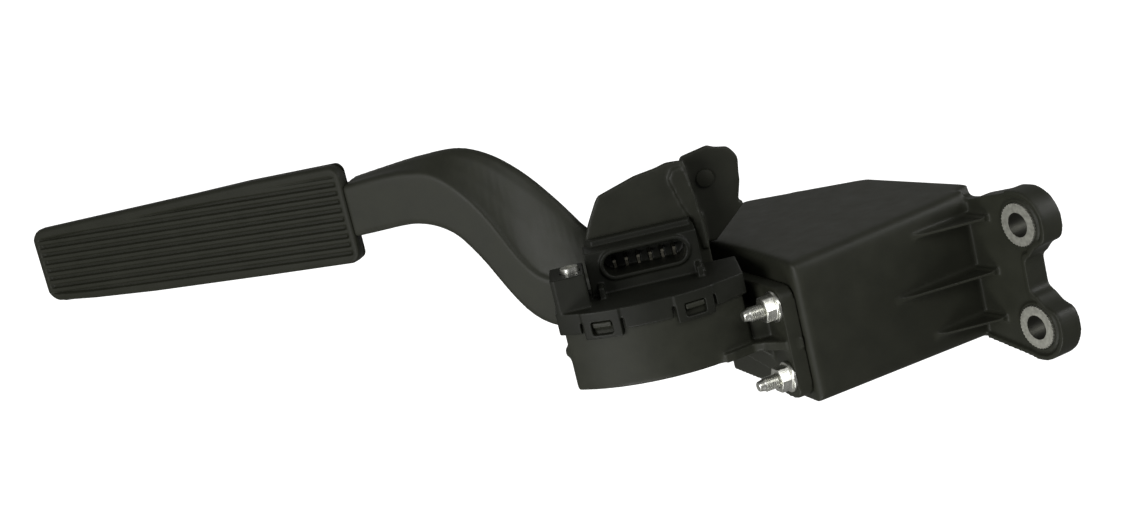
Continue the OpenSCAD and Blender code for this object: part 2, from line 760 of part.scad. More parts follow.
// Left-hand edges of the lever at a station along it: lower edge, upper edge of the face, widest.
// Smooth curve through the rows of a table of stations and values.
function curve(k, rows, i = 1) =
    i < len(rows) - 1 && k > rows[i][0] ? curve(k, rows, i + 1) :
    let (before = rows[max(0, i - 2)], p = rows[i - 1], q = rows[i], after = rows[min(len(rows) - 1, i + 1)],
         step = q[0] - p[0], t = min(1, max(0, (k - p[0]) / step)),
         rise_p = (q[1] - before[1]) / (q[0] - before[0]) * step,
         rise_q = (after[1] - p[1]) / (after[0] - p[0]) * step)
    p[1] * (1 + 2 * t) * pow(1 - t, 2) + rise_p * t * pow(1 - t, 2)
        + q[1] * t * t * (3 - 2 * t) + rise_q * t * t * (t - 1);

// Left-hand edges of the lever at a station along it: lower edge, upper edge of the face, widest.
function lever_low(k) = curve(k, [[-108, 52.2], [-97, 53], [-88, 53.7], [-82, 53.8], [-75.4, 52.6],
    [-70, 50.4], [-65, 47], [-60.4, 41.5], [-56, 35], [-52, 28], [-48, 21.4], [-43.5, 15.6],
    [-38.8, 11.8], [-34, 9.6], [-26, 7.2], [-16, 5.6], [0, 5.2]]);
function lever_high(k) = curve(k, [[-108, 52.2 + arm_w], [-95, 72.2], [-85, 72.8], [-78, 72.5],
    [-72, 71.6], [-67, 69.3], [-62, 65.5], [-57.3, 60.7], [-53, 55], [-49, 48.5], [-45.5, 41.5],
    [-41.4, 34.5], [-36, 28.5], [-28, 26], [-16, 26], [0, 26]]);
function lever_wide(k) = curve(k, [[-108, 72.7], [-97, 74.3], [-89, 75.4], [-81, 76.4], [-73.7, 77],
    [-66, 77.4], [-60, 76.9], [-54.5, 75.3], [-48, 72.2], [-42, 68], [-36, 62.7], [-30.6, 56.8],
    [-25, 50], [-19, 42], [-16, 39.5], [-12, 37.2], [0, 37]]);
function lever_back(k) = arm_depth - lever_front
    + (root_depth - arm_depth) * (ease(k, -98, -56) - 0.15 * ease(k, -46, -18));
function lever_left(k, depth) =
    let (turn = ease(k, -12, -22))
    min(lever_wide(k), lever_wide(k + 0.46 * depth * turn)) - 0.22 * depth * turn;

// One rounded cross-section of the lever, as points across the pedal; its left side draws in with depth.
function lever_ring(k) =
    let (lo = lever_low(k), hi = lever_high(k), wide = lever_wide(k), b = lever_back(k),
         left = lever_left(k, b))
    [[lo - 0.6, lever_front - 2], [lo - 0.1, lever_front - 0.7], [lo + 0.9, lever_front],
     [hi - 1.4, lever_front], [hi - 0.2, lever_front - 0.3], [hi + 0.6, lever_front - 1.1],
     [hi + (wide - hi) * 0.45, 4.1], [hi + (wide - hi) * 0.84, 1.3], [wide - 0.4, -0.2], [wide, -2],
     [lever_left(k, b / 2 + 1) - 0.3, -b / 2 - 1],
     [left - 1, -b + 2], [left - 2.8, -b], [lo + 0.8, -b], [lo - 0.7, -b + 1.6]];

// Cranked lever from the tread to the hub, through one ring of points at each station.
module lever_loft() {
    rings = [for (k = lever_stations) [for (q = lever_ring(k)) [k, q[0], q[1]]]];
    count = len(rings[0]);
    last = len(rings) - 1;
    polyhedron(
        points = [for (ring = rings, q = ring)
            [-q[1], -pivot_back + q[0] * cos(arm_tilt) - q[2] * sin(arm_tilt),
             -pivot_drop + q[0] * sin(arm_tilt) + q[2] * cos(arm_tilt)]],
        faces = concat(
            [[for (i = [count - 1 : -1 : 0]) i]],
            [[for (i = [0 : count - 1]) last * count + i]],
            [for (s = [0 : last - 1], i = [0 : count - 1])
                let (a = s * count + i, b = s * count + (i + 1) % count)
                [a, b, a + count]],
            [for (s = [0 : last - 1], i = [0 : count - 1])
                let (a = s * count + i, b = s * count + (i + 1) % count)
                [b, b + count, a + count]]));
}

module pedal_arm() color(black_plastic) {
    difference() {
        union() {
            lever_loft();
            on_pivot(-hub_left) cylinder(d = hub_d, h = hub_left - hub_right, $fn = 96);
            tread_spine();
        }
        on_pivot(-hub_left - 1)
            cylinder(d = pin_d + 2 * pin_gap + 2 * pivot_bush_wall + 2 * seat, h = hub_left - hub_right + 2);
    }
}

// Spine that runs down behind the tread, with a rib on its back.
module tread_spine() {
    facing(arm_tilt, lever_front - pad_t - 4, lever_front - pad_t - seat)
        polygon([[-pad_near + 2, 54], [-pad_near + 2, 71], [-pad_near - pad_len + 24, 64],
                 [-pad_near - pad_len + 18, 60], [-pad_near - pad_len + 18, 56], [-pad_near - pad_len + 24, 52]]);
    across(arm_tilt, -64, -60)
        polygon([[-pad_near + 4, lever_front - pad_t - 3], [-pad_near + 4, -lever_back(-106) + 0.5],
                 [-pad_near - pad_len + 22, lever_front - pad_t - 4.4], [-pad_near - pad_len + 22, lever_front - pad_t - 3]]);
}

// Face view of the tread, narrower at its lower end.
module tread_face(inset) {
    offset(3) offset(-3 - inset)
        polygon([[-pad_near - pad_len, pad_right + 1.5], [-pad_near - pad_len, pad_right + pad_w - pad_taper - 1.5],
                 [-pad_near - pad_len + 6, pad_right + pad_w - pad_taper + 0.5],
                 [-pad_near - 42, pad_right + pad_w - 1], [-pad_near - 2, pad_right + pad_w + 0.2],
                 [-pad_near, pad_right + pad_w - 2], [-pad_near, pad_right + 2], [-pad_near - 4, pad_right],
                 [-pad_near - pad_len + 3, pad_right]]);
}

module pedal_pad() color(soft_black) {
    facing(arm_tilt, lever_front - tread_t, lever_front - tread_rib_h) tread_face(0);
    facing(arm_tilt, lever_front - pad_t, lever_front - tread_t + 1) tread_face(6);
    facing(arm_tilt, lever_front - tread_t, lever_front)
        difference() {
            tread_face(0);
            tread_face(tread_border);
        }
    facing(arm_tilt, lever_front - tread_t, lever_front)
        intersection() {
            tread_face(tread_border + 1);
            for (i = [0 : tread_ribs - 1])
                translate([-pad_near - pad_len, pad_right + tread_border + 1.4 + i * tread_pitch])
                    square([pad_len, tread_pitch * 0.5]);
        }
}

adapter_bracket();
dash_bush_left();
dash_bush_right();
flange_studs();
flange_nuts();
pedal_box();
sensor_cover();
cover_gasket();
cover_screw();
terminals();
sensor_board();
resistor_tracks();
wiper_carrier();
wiper_contacts();
pivot_pin();
pin_clip();
pivot_bush_left();
pivot_bush_right();
friction_ring();
wave_washer();
return_spring_outer();
return_spring_inner();
spring_sleeve();
idle_stop_pad();
full_stop_pad();
tower_cap();
pedal_arm();
pedal_pad();
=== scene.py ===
"""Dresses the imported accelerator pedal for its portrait: finishes, rounded mouldings and studio."""

import json
import logging
import math
from dataclasses import dataclass
from enum import Enum
from typing import Callable

import bpy
from mathutils import Matrix, Vector


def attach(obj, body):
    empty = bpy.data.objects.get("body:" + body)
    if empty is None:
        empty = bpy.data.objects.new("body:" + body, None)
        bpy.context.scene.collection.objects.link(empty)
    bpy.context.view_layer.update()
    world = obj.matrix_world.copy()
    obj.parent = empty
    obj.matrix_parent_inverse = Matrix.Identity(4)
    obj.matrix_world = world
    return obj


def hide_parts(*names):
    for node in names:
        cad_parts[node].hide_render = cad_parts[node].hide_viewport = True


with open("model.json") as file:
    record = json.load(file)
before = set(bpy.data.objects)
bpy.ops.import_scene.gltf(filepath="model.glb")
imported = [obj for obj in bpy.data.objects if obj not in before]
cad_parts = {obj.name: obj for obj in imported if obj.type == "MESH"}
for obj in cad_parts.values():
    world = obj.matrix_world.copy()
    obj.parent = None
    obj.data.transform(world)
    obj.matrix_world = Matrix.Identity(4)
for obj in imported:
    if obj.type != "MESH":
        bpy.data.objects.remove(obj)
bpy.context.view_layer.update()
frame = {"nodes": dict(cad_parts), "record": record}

Triple = tuple[float, float, float]
Rows = tuple[tuple[float, float], ...]
Materials = dict[str, bpy.types.Material]

LOG = logging.getLogger("pedal")
MM = 0.001
PIVOT = Vector((0.0, -90.4, -91.4))  # The hinge's axis, in millimetres.
BOX_TILT = math.radians(30)  # Slope of the pedal box's face.
ARM_TILT = math.radians(55)  # Slope of the lever's face.
SEAM = 0.002  # Points of a CAD mesh that are closer than this, in millimetres, are one point.
SMOOTHING = 0.5  # How far one smoothing pass moves a point towards its neighbours' middle.


def linear(hex_colour: str) -> tuple[float, float, float, float]:
    """Turn an sRGB hex colour into linear light.

    Args:
        hex_colour: six hex digits, such as "3a3a34".

    Returns:
        Red, green, blue and an alpha of 1.
    """
    parts = [int(hex_colour[i:i + 2], 16) / 255 for i in (0, 2, 4)]
    red, green, blue = (
        c / 12.92 if c <= 0.04045 else ((c + 0.055) / 1.055) ** 2.4 for c in parts)
    return red, green, blue, 1.0


def add_node(tree: bpy.types.NodeTree, kind: str, settings: dict[str, object] | None = None,
             **links: object) -> bpy.types.Node:
    """Add one shader node with its settings and links.

    Args:
        tree: the material's or world's node tree.
        kind: Blender's name of the node type, without its leading "ShaderNode".
        settings: properties of the node, set by name.
        **links: input sockets by name, with "_" for a space, or by number after a "_". Each gets a
            value or another node's output socket.

    Returns:
        The new node.
    """
    node = tree.nodes.new("ShaderNode" + kind)
    for name, value in (settings or {}).items():
        setattr(node, name, value)
    for name, value in links.items():
        key = int(name[1:]) if name[1:].isdigit() else name.replace("_", " ")
        socket = node.inputs[key]
        if isinstance(value, bpy.types.NodeSocket):
            tree.links.new(value, socket)
        else:
            socket.default_value = value
    return node


def two_tone(tree: bpy.types.NodeTree, share: bpy.types.NodeSocket,
             first: tuple[float, str], second: tuple[float, str]) -> bpy.types.NodeSocket:
    """Blend two colours by a share.

    Args:
        tree: the material's node tree.
        share: where between the two colours each place lies.
        first: the share at which the first colour ends, and that colour in sRGB hex.
        second: the share from which the second colour is full, and that colour in sRGB hex.

    Returns:
        The blended colour.
    """
    ramp = add_node(tree, "ValToRGB", Fac=share)
    for stop, (position, colour) in zip(ramp.color_ramp.elements, (first, second)):
        stop.position = position
        stop.color = linear(colour)
    return ramp.outputs["Color"]


def fresh_material(name: str) -> tuple[bpy.types.Material, bpy.types.NodeTree, bpy.types.Node]:
    """Make an empty material with its output node.

    Args:
        name: the material's name, which says what it is.

    Returns:
        The material, its node tree and its output node.
    """
    material = bpy.data.materials.new(name)
    material.use_nodes = True
    material.node_tree.nodes.clear()
    return material, material.node_tree, add_node(material.node_tree, "OutputMaterial")


@dataclass(frozen=True)
class Moulded:
    """Injection-moulded plastic: a fine spark-eroded grain and a little flow mottle.

    The grain is too fine to be seen as such in the portrait. It breaks up the highlights, so that
    the surface looks matt and dry. The mottle gives large faces a tone that wanders slightly.

    Attributes:
        name: what the plastic is.
        colour: its plain tone, sRGB hex.
        mottled: its tone where the flow has left it lighter, sRGB hex.
        roughness: how matt it is, from 0 to 1.
        grain_mm: width of a grain.
        grain_depth_mm: depth of a grain.
        specular: strength of its highlights.
        mottle_mm: width of a patch of mottle.
    """

    name: str
    colour: str
    mottled: str
    roughness: float
    grain_mm: float
    grain_depth_mm: float
    specular: float = 0.2
    mottle_mm: float = 9.0

    def build(self) -> bpy.types.Material:
        """Build the plastic.

        Returns:
            The material.
        """
        material, tree, output = fresh_material(self.name)
        place = add_node(tree, "TexCoord").outputs["Object"]
        mottle = add_node(tree, "TexNoise", Vector=place, Scale=1 / (self.mottle_mm * MM),
                          Detail=4.0, Roughness=0.6).outputs["Fac"]
        tone = two_tone(tree, mottle, (0.3, self.colour), (0.72, self.mottled))
        grain = add_node(tree, "TexNoise", Vector=place, Scale=1 / (self.grain_mm * MM),
                         Detail=2.0, Roughness=0.5)
        gloss = add_node(tree, "MapRange", Value=mottle, From_Min=0.3, From_Max=0.7,
                         To_Min=self.roughness - 0.04, To_Max=self.roughness + 0.05)
        bump = add_node(tree, "Bump", Height=grain.outputs["Fac"], Strength=0.35,
                        Distance=self.grain_depth_mm * MM)
        surface = add_node(tree, "BsdfPrincipled", Base_Color=tone,
                           Specular_IOR_Level=self.specular, Roughness=gloss.outputs["Result"],
                           Normal=bump.outputs["Normal"])
        tree.links.new(surface.outputs[0], output.inputs[0])
        return material


@dataclass(frozen=True)
class Metal:
    """Bare or plated metal with a patchy film, fine scratches and, where it has bores, painted shade
    on their walls.

    The scratches are too fine to see one by one. They spread the highlights, so that small parts
    show soft bright edges in place of sharp mirror glints.

    Attributes:
        name: what the metal is.
        colour: its bright tone, sRGB hex.
        film: its tone under the film, sRGB hex.
        roughness: how matt it is, from 0 to 1.
        scratch_mm: distance between scratches.
        scratch_depth_mm: depth of a scratch.
        patch_mm: width of a patch of film.
        bore_mm: diameter of a pair of bores that get painted shade, or 0 for none.
        bore_side_mm: distance of each bore's axis from the middle plane.
        bore_shade_colour: painted shade on the bores' walls, sRGB hex.
    """

    name: str
    colour: str
    film: str
    roughness: float
    scratch_mm: float
    scratch_depth_mm: float = 0.03
    patch_mm: float = 1.6
    bore_mm: float = 0.0
    bore_side_mm: float = 18.0
    bore_shade_colour: str = "4a4a44"

    def paint_bore_shade(self, tree: bpy.types.NodeTree, place: bpy.types.NodeSocket,
                  colour: bpy.types.NodeSocket) -> bpy.types.NodeSocket:
        """Paint shade on the walls of a pair of bores along Y, so that they read as deep holes.

        Args:
            tree: the material's node tree.
            place: Object coordinates.
            colour: the metal's colour.

        Returns:
            The colour with painted shade in the bores.
        """
        wall_mm = self.bore_mm / 2 + 0.12  # The wall itself, with room for its facets.
        parts = add_node(tree, "SeparateXYZ", Vector=place)
        side = add_node(tree, "Math", {"operation": "ABSOLUTE"}, _0=parts.outputs["X"])
        across = add_node(tree, "Math", {"operation": "SUBTRACT"}, _0=side.outputs[0],
                          _1=self.bore_side_mm * MM)
        radial = add_node(tree, "CombineXYZ", X=across.outputs[0], Y=parts.outputs["Z"])
        reach = add_node(tree, "VectorMath", {"operation": "LENGTH"}, _0=radial.outputs[0])
        inside = add_node(tree, "Math", {"operation": "LESS_THAN"}, _0=reach.outputs["Value"],
                          _1=wall_mm * MM)
        # Painted shade: the bores' walls take a dark tone in place of the metal's.
        mix = add_node(tree, "MixRGB", Fac=inside.outputs[0], Color1=colour,
                       Color2=linear(self.bore_shade_colour))
        return mix.outputs[0]

    def build(self) -> bpy.types.Material:
        """Build the metal.

        Returns:
            The material.
        """
        material, tree, output = fresh_material(self.name)
        place = add_node(tree, "TexCoord").outputs["Object"]
        patches = add_node(tree, "TexNoise", Vector=place, Scale=1 / (self.patch_mm * MM),
                           Detail=3.0).outputs["Fac"]
        tone = two_tone(tree, patches, (0.35, self.film), (0.65, self.colour))
        scratch = add_node(tree, "TexNoise", Vector=place, Scale=1 / (self.scratch_mm * MM),
                           Detail=2.0).outputs["Fac"]
        gloss = add_node(tree, "MapRange", Value=scratch, From_Min=0.3, From_Max=0.7,
                         To_Min=self.roughness - 0.06, To_Max=self.roughness + 0.1)
        bump = add_node(tree, "Bump", Height=scratch, Strength=0.2,
                        Distance=self.scratch_depth_mm * MM)
        # Painted shade on the walls of the bores.
        if self.bore_mm:
            tone = self.paint_bore_shade(tree, place, tone)
        surface = add_node(tree, "BsdfPrincipled", Base_Color=tone, Metallic=1.0,
                           Roughness=gloss.outputs["Result"], Normal=bump.outputs["Normal"])
        tree.links.new(surface.outputs[0], output.inputs[0])
        return material


FINISHES: dict[str, Moulded | Metal] = {
    # Warm near-black with soft, wide highlights: shows the rounds of the large mouldings.
    "black_nylon": Moulded(
        "Glass-filled nylon, moulded black", "25261f", "2a2b23", roughness=0.48,
        grain_mm=0.35, grain_depth_mm=0.05, specular=0.22),
    # A tone darker than the box behind it: painted shade for the tower's shadow on the cover and the
    # depth of its socket, which also sets the cover off as a part of its own.
    "shaded_cover_nylon": Moulded(
        "Glass-filled nylon of the sensor cover", "181914", "1c1d17", roughness=0.48,
        grain_mm=0.35, grain_depth_mm=0.05),
    # Duller than the lever: its grooves stay dark and its ribs catch only a thin light.
    "tread_plastic": Moulded(
        "Polypropylene tread, moulded black", "1f2018", "23241c", roughness=0.52,
        grain_mm=0.3, grain_depth_mm=0.05),
    # Flat black that swallows light, inside the box only.
    "seal_rubber": Moulded(
        "Moulded rubber, black", "141413", "1b1b19", roughness=0.6,
        grain_mm=0.4, grain_depth_mm=0.04),
    # Milky white with a soft shine: sets the moving plastic parts off from the black ones.
    "natural_plastic": Moulded(
        "Acetal, natural", "cfcabb", "d9d5c8", roughness=0.35,
        grain_mm=0.5, grain_depth_mm=0.02),
    # Dry brown-grey with a coarse grain, as pressed fibres have.
    "friction_lining": Moulded(
        "Friction lining, pressed", "3a3530", "4a453f", roughness=0.7,
        grain_mm=0.3, grain_depth_mm=0.05),
    # Deep green under a smooth lacquer.
    "board_laminate": Moulded(
        "Board laminate, green solder resist", "1d4a2c", "23552f", roughness=0.3,
        grain_mm=0.6, grain_depth_mm=0.02),
    # Sooty black bands on the green.
    "track_ink": Moulded(
        "Resistor ink, printed", "141414", "1c1c1c", roughness=0.5,
        grain_mm=0.3, grain_depth_mm=0.02),
    # Dull grey-yellow: the blades' tips glimmer in the dark socket.
    "terminal_brass": Metal(
        "Tinned brass blade", "7d7a6e", "5f5d52", roughness=0.4, scratch_mm=0.2),
    # Bright and slightly warm: the studs and nuts are the portrait's lightest metal.
    "zinc_steel": Metal(
        "Zinc-plated steel", "e6e6df", "c9c9c0", roughness=0.3, scratch_mm=0.2),
    # Pale and matt, with painted shade in the bores: the bushes read as rings.
    "bush_steel": Metal(
        "Sintered steel bush, shade painted in its bores", "d0d0c6", "b4b4aa", roughness=0.55, scratch_mm=0.25, bore_mm=8.4),
    # Even grey with a narrow highlight along the pin.
    "pin_steel": Metal(
        "Ground steel pin", "b4b4b0", "9c9c98", roughness=0.25, scratch_mm=0.1),
    # Dark and slightly wet, so that each turn of wire has its own thin glint.
    "spring_steel": Metal(
        "Oiled spring wire", "6b6b6a", "4a4a49", roughness=0.3, scratch_mm=0.12),
}


class Body(Enum):
    """The bodies that pieces ride on."""

    HOUSING = "housing"
    PEDAL = "pedal"


def only(piece: bpy.types.Object) -> None:
    """Select one piece alone and make it active.

    Args:
        piece: the object that the next operators work on.
    """
    bpy.ops.object.select_all(action="DESELECT")
    piece.select_set(True)
    bpy.context.view_layer.objects.active = piece


def apply_modifier(piece: bpy.types.Object, kind: str, **settings: object) -> None:
    """Add a modifier, set it and apply it.

    Args:
        piece: the object to change.
        kind: Blender's modifier type.
        **settings: the modifier's properties.
    """
    only(piece)
    modifier = piece.modifiers.new(kind.lower(), kind)
    for name, value in settings.items():
        setattr(modifier, name, value)
    bpy.ops.object.modifier_apply(modifier=modifier.name)


def cad_copy(node: str, name: str) -> bpy.types.Object:
    """Copy a CAD node's mesh into a new piece with its seams closed.

    Args:
        node: the CAD node.
        name: the piece's name.

    Returns:
        The new piece, at the origin like the node.
    """
    piece = bpy.data.objects.new(name, frame["nodes"][node].data.copy())
    bpy.context.scene.collection.objects.link(piece)
    only(piece)
    bpy.ops.object.mode_set(mode="EDIT")
    bpy.ops.mesh.select_all(action="SELECT")
    bpy.ops.mesh.remove_doubles(threshold=SEAM * MM)
    bpy.ops.object.mode_set(mode="OBJECT")
    return piece


def cut_box(piece: bpy.types.Object, turn: Matrix, box_mm: tuple[Triple, Triple]) -> None:
    """Cut a box out of a piece.

    Args:
        piece: the piece to cut.
        turn: the frame of the box, in metres.
        box_mm: its lowest and highest corners in that frame, in millimetres.
    """
    low, high = Vector(box_mm[0]), Vector(box_mm[1])
    middle = Matrix.Translation((high + low) / 2 * MM)
    size = Matrix.Diagonal((*((high - low) * MM), 1.0))
    bpy.ops.object.select_all(action="DESELECT")
    bpy.ops.mesh.primitive_cube_add(size=1.0)
    cutter = bpy.context.active_object
    cutter.data.transform(turn @ middle @ size)
    apply_modifier(piece, "BOOLEAN", operation="DIFFERENCE", object=cutter, solver="EXACT")
    bpy.data.objects.remove(cutter)


def soften_near(piece: bpy.types.Object, chosen: Callable[[Vector], bool], passes: int) -> None:
    """Smooth only the points that a test chooses.

    Args:
        piece: the piece.
        chosen: says whether a point, in metres, is smoothed.
        passes: how many smoothing passes it gets.
    """
    group = piece.vertex_groups.new(name="soft")
    group.add([v.index for v in piece.data.vertices if chosen(v.co)], 1.0, "REPLACE")
    apply_modifier(piece, "SMOOTH", factor=SMOOTHING, iterations=passes, vertex_group="soft")
    piece.vertex_groups.remove(piece.vertex_groups["soft"])


def settle(piece: bpy.types.Object, nodes: tuple[str, ...], body: Body,
           material: bpy.types.Material) -> None:
    """Let a piece stand for its CAD nodes, ride on its body and take its finish.

    Args:
        piece: the finished piece.
        nodes: the CAD nodes that it replaces.
        body: the body it rides on.
        material: its material.
    """
    piece.data.materials.clear()
    piece.data.materials.append(material)
    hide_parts(*nodes)
    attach(piece, body.value)
    LOG.info("%s: %d faces on %s", piece.name, len(piece.data.polygons), body.value)


def face_frame(tilt: float) -> Matrix:
    """Frame of a face view about the pivot: forward, left, and out towards the driver.

    Args:
        tilt: slope of the forward axis, in radians.

    Returns:
        The frame, in metres.
    """
    forward = Vector((0.0, math.cos(tilt), math.sin(tilt)))
    left = Vector((-1.0, 0.0, 0.0))
    axes = Matrix((forward, left, forward.cross(left))).transposed().to_4x4()
    return Matrix.Translation(PIVOT * MM) @ axes


@dataclass(frozen=True)
class Moulding:
    """Rounded copy of a moulded CAD node, with the soft edges that a mould leaves.

    Attributes:
        node: the CAD node.
        body: the body it rides on.
        slot: the record's material slot.
        voxel_mm: how finely the copy is meshed anew.
        passes: how many passes round its edges.
        triangles: the most triangles it keeps.
    """

    node: str
    body: Body
    slot: str
    voxel_mm: float
    passes: int
    triangles: int

    def carve(self, piece: bpy.types.Object) -> None:
        """Cut fine forms into the copy before it is rounded: none here."""

    def shape(self, piece: bpy.types.Object) -> None:
        """Move points of the rounded copy: none here."""

    def build(self, material: bpy.types.Material) -> None:
        """Build the copy and let it stand for the node.

        Args:
            material: its material.
        """
        piece = cad_copy(self.node, self.node + "_moulded")
        self.carve(piece)
        apply_modifier(piece, "REMESH", mode="VOXEL", voxel_size=self.voxel_mm * MM,
                       adaptivity=0.0)
        self.shape(piece)
        apply_modifier(piece, "SMOOTH", factor=SMOOTHING, iterations=self.passes)
        count = 2 * len(piece.data.polygons)
        if count > self.triangles:
            apply_modifier(piece, "DECIMATE", ratio=self.triangles / count)
        bpy.ops.object.shade_smooth()
        settle(piece, (self.node,), self.body, material)


@dataclass(frozen=True)
class BracketMoulding(Moulding):
    """Adapter bracket: drafted ribs, a broad round on its long edge and a notch at the left ear.

    Attributes:
        notch_mm: box that is cut away beside the left ear.
        ear_foot_mm: foot of the ear's sloped side.
        ear_lean: lean of that side, in degrees.
        ear_waste_mm: box that is cut away outside it, from its foot.
        ribs_mm: each rib's distance from the middle plane.
        rib_reach_mm: half the width in which points belong to a rib.
        rib_root_mm: height of the ribs' roots.
        rib_skip_mm: height above the roots that is left alone.
        rib_front_mm: the ribs are thinned on the driver's side of this.
        rib_draft: share of its thickness that a rib loses.
        rib_blend_mm: height over which that share is reached.
        edge_mm: X and Z below which the long left edge is rounded.
        edge_passes: how many passes round it.
        dash_side_mm: Y and Z above which the dash side is rounded.
        dash_side_passes: how many passes round it.
    """

    notch_mm: tuple[Triple, Triple] = ((-36, 2.5, -30.4), (-24.8, 11, -20))
    ear_foot_mm: Triple = (-25.3, 0, -24.5)
    ear_lean: float = -10.1
    ear_waste_mm: tuple[Triple, Triple] = ((-9, -3, -1), (0, 12, 21))
    ribs_mm: Triple = (-19.5, -0.5, 16.3)
    rib_reach_mm: float = 1.6
    rib_root_mm: float = -25.0
    rib_skip_mm: float = 0.2
    rib_front_mm: float = -1.2
    rib_draft: float = 0.55
    rib_blend_mm: float = 2.0
    edge_mm: tuple[float, float] = (-21.5, -24.0)
    edge_passes: int = 75
    dash_side_mm: tuple[float, float] = (1.5, -34.0)
    dash_side_passes: int = 8

    def carve(self, piece: bpy.types.Object) -> None:
        """Cut the notch between the box's left side and the ear, and slope the ear's side.

        Args:
            piece: the copy of the CAD node.
        """
        cut_box(piece, Matrix.Identity(4), self.notch_mm)
        foot = Matrix.Translation(Vector(self.ear_foot_mm) * MM)
        lean = Matrix.Rotation(math.radians(self.ear_lean), 4, "Y")
        cut_box(piece, foot @ lean, self.ear_waste_mm)

    def shape(self, piece: bpy.types.Object) -> None:
        """Thin the ribs from their roots up, and round the long edge and the dash side.

        Args:
            piece: the rounded copy.
        """
        for vertex in piece.data.vertices:
            x, y, z = vertex.co / MM
            above = z - self.rib_root_mm
            if above <= self.rib_skip_mm or y >= self.rib_front_mm:
                continue
            for rib in self.ribs_mm:
                if abs(x - rib) < self.rib_reach_mm:
                    draft = self.rib_draft * min(1.0, above / self.rib_blend_mm)
                    vertex.co.x = (rib + (x - rib) * (1.0 - draft)) * MM
        edge_x, edge_z = (limit * MM for limit in self.edge_mm)
        soften_near(piece, lambda p: p.x < edge_x and p.z < edge_z, self.edge_passes)
        dash_y, dash_z = (limit * MM for limit in self.dash_side_mm)
        soften_near(piece, lambda p: p.y > dash_y and p.z > dash_z, self.dash_side_passes)


@dataclass(frozen=True)
class BoxMoulding(Moulding):
    """Pedal box: a tower with broad rounds and a squared head, and a wing that ends in a slope.

    Its lengths are in the box's face frame: along (forward), left, out (towards the driver).

    Attributes:
        step_mm: box that is cut away at the wing's step.
        head_mm: the head lies left of the first and out from the second.
        head_corner_mm: along and left of the head's corner.
        head_reach_mm: distance from the corner in which points are pushed.
        head_push_mm: how far the corner goes along and left.
        wing_left_mm: where the wing begins and ends, left.
        wing_out_mm: where the wing begins and ends, out.
        wing_start_mm: along and left of a point on the wing's sloped rim.
        wing_slope: how far the rim goes along for each step left.
        wing_end_mm: farthest along that the rim goes.
        wing_rest: share of what stood out beyond the rim that is left.
        tower_mm: the tower lies left of the first and out from the second.
        tower_passes: how many passes round it.
        ridge_mm: the ridge below the tower lies before the first along and right of the second.
        ridge_passes: how many passes round it.
    """

    step_mm: tuple[Triple, Triple] = ((24.4, 28, 1.98), (42, 44, 10))
    head_mm: tuple[float, float] = (44.0, -14.0)
    head_corner_mm: tuple[float, float] = (40.0, 57.0)
    head_reach_mm: float = 9.0
    head_push_mm: tuple[float, float] = (1.5, 1.7)
    wing_left_mm: tuple[float, float] = (27.5, 44.0)
    wing_out_mm: tuple[float, float] = (-30.0, 4.0)
    wing_start_mm: tuple[float, float] = (27.4, 29.5)
    wing_slope: float = 1.156
    wing_end_mm: float = 39.0
    wing_rest: float = 0.02
    tower_mm: tuple[float, float] = (30.0, -16.0)
    tower_passes: int = 10
    ridge_mm: tuple[float, float] = (20.0, 14.0)
    ridge_passes: int = 30

    def carve(self, piece: bpy.types.Object) -> None:
        """Trim the step on the wing."""
        cut_box(piece, face_frame(BOX_TILT), self.step_mm)

    def shape(self, piece: bpy.types.Object) -> None:
        """Square the head's corner, draw the wing in to its slope, and round tower and ridge.

        Args:
            piece: the rounded copy.
        """
        box = face_frame(BOX_TILT)
        back = box.inverted()
        corner = Vector(self.head_corner_mm)
        push_on, push_left = self.head_push_mm
        first, first_left = self.wing_start_mm
        for vertex in piece.data.vertices:
            along, left, out = (back @ vertex.co) / MM
            if left > self.head_mm[0] and out > self.head_mm[1]:
                far = (Vector((along, left)) - corner).length_squared / self.head_reach_mm ** 2
                near = max(0.0, 1.0 - far) ** 2
                pushed = Vector((along + push_on * near, left + push_left * near, out))
                vertex.co = box @ (pushed * MM)
            rim = min(self.wing_end_mm, first + (left - first_left) * self.wing_slope)
            if (along > rim and self.wing_left_mm[0] < left < self.wing_left_mm[1]
                    and self.wing_out_mm[0] < out < self.wing_out_mm[1]):
                drawn = Vector((rim + self.wing_rest * (along - rim), left, out))
                vertex.co = box @ (drawn * MM)
        tower_left, tower_out = (limit * MM for limit in self.tower_mm)
        soften_near(piece, lambda p: (back @ p).y > tower_left and (back @ p).z > tower_out,
                    self.tower_passes)
        ridge_along, ridge_left = (limit * MM for limit in self.ridge_mm)
        soften_near(piece, lambda p: (back @ p).y < ridge_left and (back @ p).x < ridge_along,
                    self.ridge_passes)


@dataclass(frozen=True)
class CoverMoulding(Moulding):
    """Sensor cover: the block above its socket slopes softly into the tower."""

    socket_top_mm: float = 41.0
    block_passes: int = 30

    def shape(self, piece: bpy.types.Object) -> None:
        """Soften the block above the socket.

        Args:
            piece: the rounded copy.
        """
        back = face_frame(BOX_TILT).inverted()
        top = self.socket_top_mm * MM
        soften_near(piece, lambda p: (back @ p).y > top, self.block_passes)


@dataclass(frozen=True)
class Machined:
    """Copy of a small CAD node with its sharp edges chamfered.

    Attributes:
        node: the CAD node.
        body: the body it rides on.
        slot: the record's material slot.
        edge_mm: width of the chamfers.
        crease: angle in degrees from which an edge is chamfered.
        smooth: angle in degrees below which faces are shaded as one.
    """

    node: str
    body: Body
    slot: str
    edge_mm: float
    crease: float = 28.0
    smooth: float = 35.0

    def build(self, material: bpy.types.Material) -> None:
        """Build the copy and let it stand for the node.

        Args:
            material: its material.
        """
        piece = cad_copy(self.node, self.node + "_machined")
        apply_modifier(piece, "BEVEL", width=self.edge_mm * MM, segments=2, limit_method="ANGLE",
                       angle_limit=math.radians(self.crease), use_clamp_overlap=True)
        bpy.ops.object.shade_smooth_by_angle(angle=math.radians(self.smooth))
        settle(piece, (self.node,), self.body, material)


